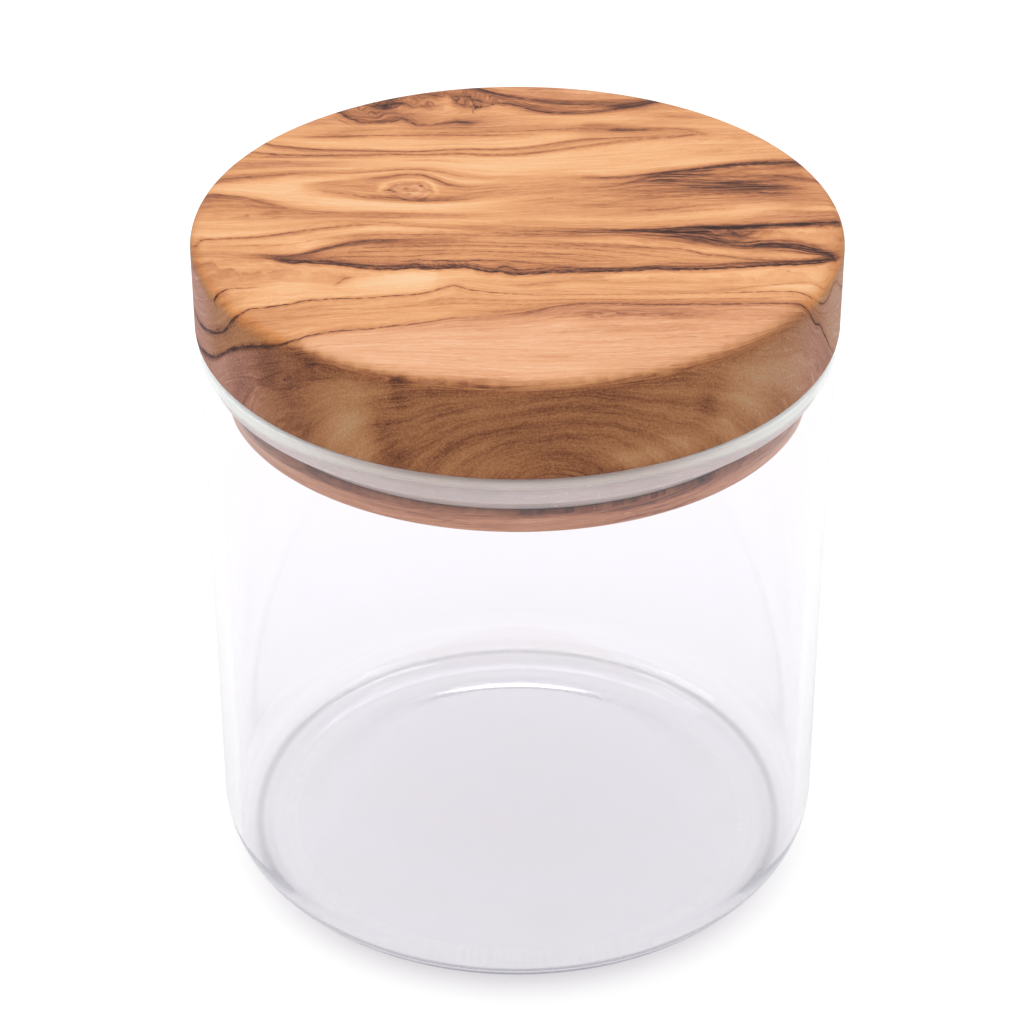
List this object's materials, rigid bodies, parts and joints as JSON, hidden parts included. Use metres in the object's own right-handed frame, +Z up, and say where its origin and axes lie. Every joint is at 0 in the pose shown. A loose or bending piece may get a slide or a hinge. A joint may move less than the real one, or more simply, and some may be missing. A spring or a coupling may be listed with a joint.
{
  "type": "glass storage jar",
  "caption": "Straight-sided round glass jar with a thick turned wooden lid, whose grooved plug carries a ribbed silicone ring that seals against the bore.",
  "frame": {"origin": "middle of the jar's foot, on the surface that it stands on", "axes": "+Z up along the jar's axis, through the middle of the lid; -Y towards the front of the picture, +X to its right"},
  "size_m": [0.1008, 0.1008, 0.1142],
  "materials": {
    "glass": "clear polished glass",
    "olive_wood": "fine-sanded, oiled olive wood",
    "silicone": "matt translucent silicone"
  },
  "bodies": {
    "jar": {"glass_jar": "glass"},
    "seal": {"silicone_seal": "silicone"},
    "lid": {"wooden_lid": "olive_wood"}
  },
  "joints": [
    {"name": "lid_lift", "type": "slide", "parent": "jar", "child": "seal", "axis": [0, 0, 1], "range_m": [0, 0.12]},
    {"name": "lid_turn", "type": "hinge", "parent": "seal", "child": "lid", "pos_m": [0, 0, 0.0981], "axis": [0, 0, 1], "continuous": true}
  ]
}
